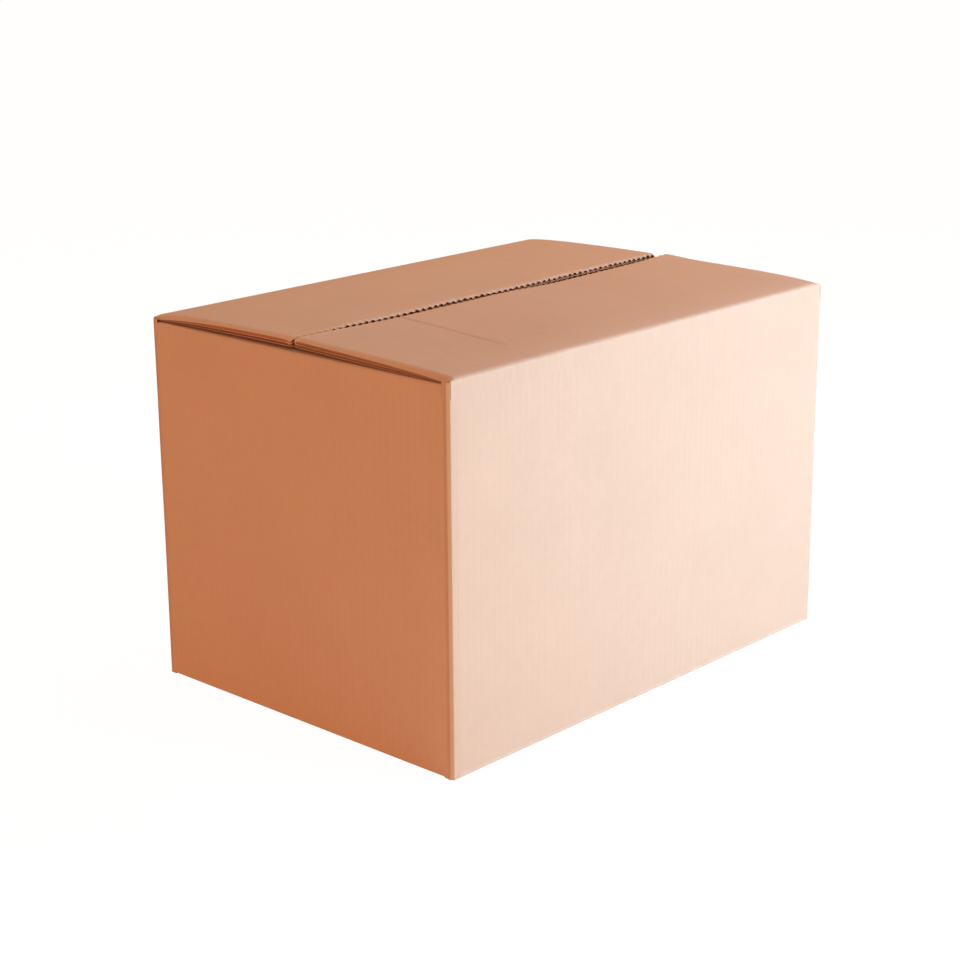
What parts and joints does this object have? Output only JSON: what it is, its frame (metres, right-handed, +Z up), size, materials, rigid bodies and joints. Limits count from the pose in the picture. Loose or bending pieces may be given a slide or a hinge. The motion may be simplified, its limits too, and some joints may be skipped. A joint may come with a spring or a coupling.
{
  "type": "closed cardboard box",
  "caption": "Plain closed shipping carton of double-wall corrugated board, untaped, with two hinged outer top flaps meeting at a centre seam.",
  "frame": {"origin": "middle of the underside, where the box stands", "axes": "+X along the long walls, +Y from the near long wall to the far one, +Z up"},
  "size_m": [0.402, 0.285, 0.2736],
  "materials": {
    "kraft_board": "matte brown kraft liner with a faint flute pattern"
  },
  "bodies": {
    "carton": {"carton": "kraft_board"},
    "near_flap": {"near_top_flap": "kraft_board"},
    "far_flap": {"far_top_flap": "kraft_board"}
  },
  "joints": [
    {"name": "near_flap_fold", "type": "hinge", "parent": "carton", "child": "near_flap", "pos_m": [0, -0.1425, 0.265], "axis": [1, 0, 0], "range_deg": [0, 240]},
    {"name": "far_flap_fold", "type": "hinge", "parent": "carton", "child": "far_flap", "pos_m": [0, 0.1425, 0.265], "axis": [-1, 0, 0], "range_deg": [0, 240]}
  ]
}
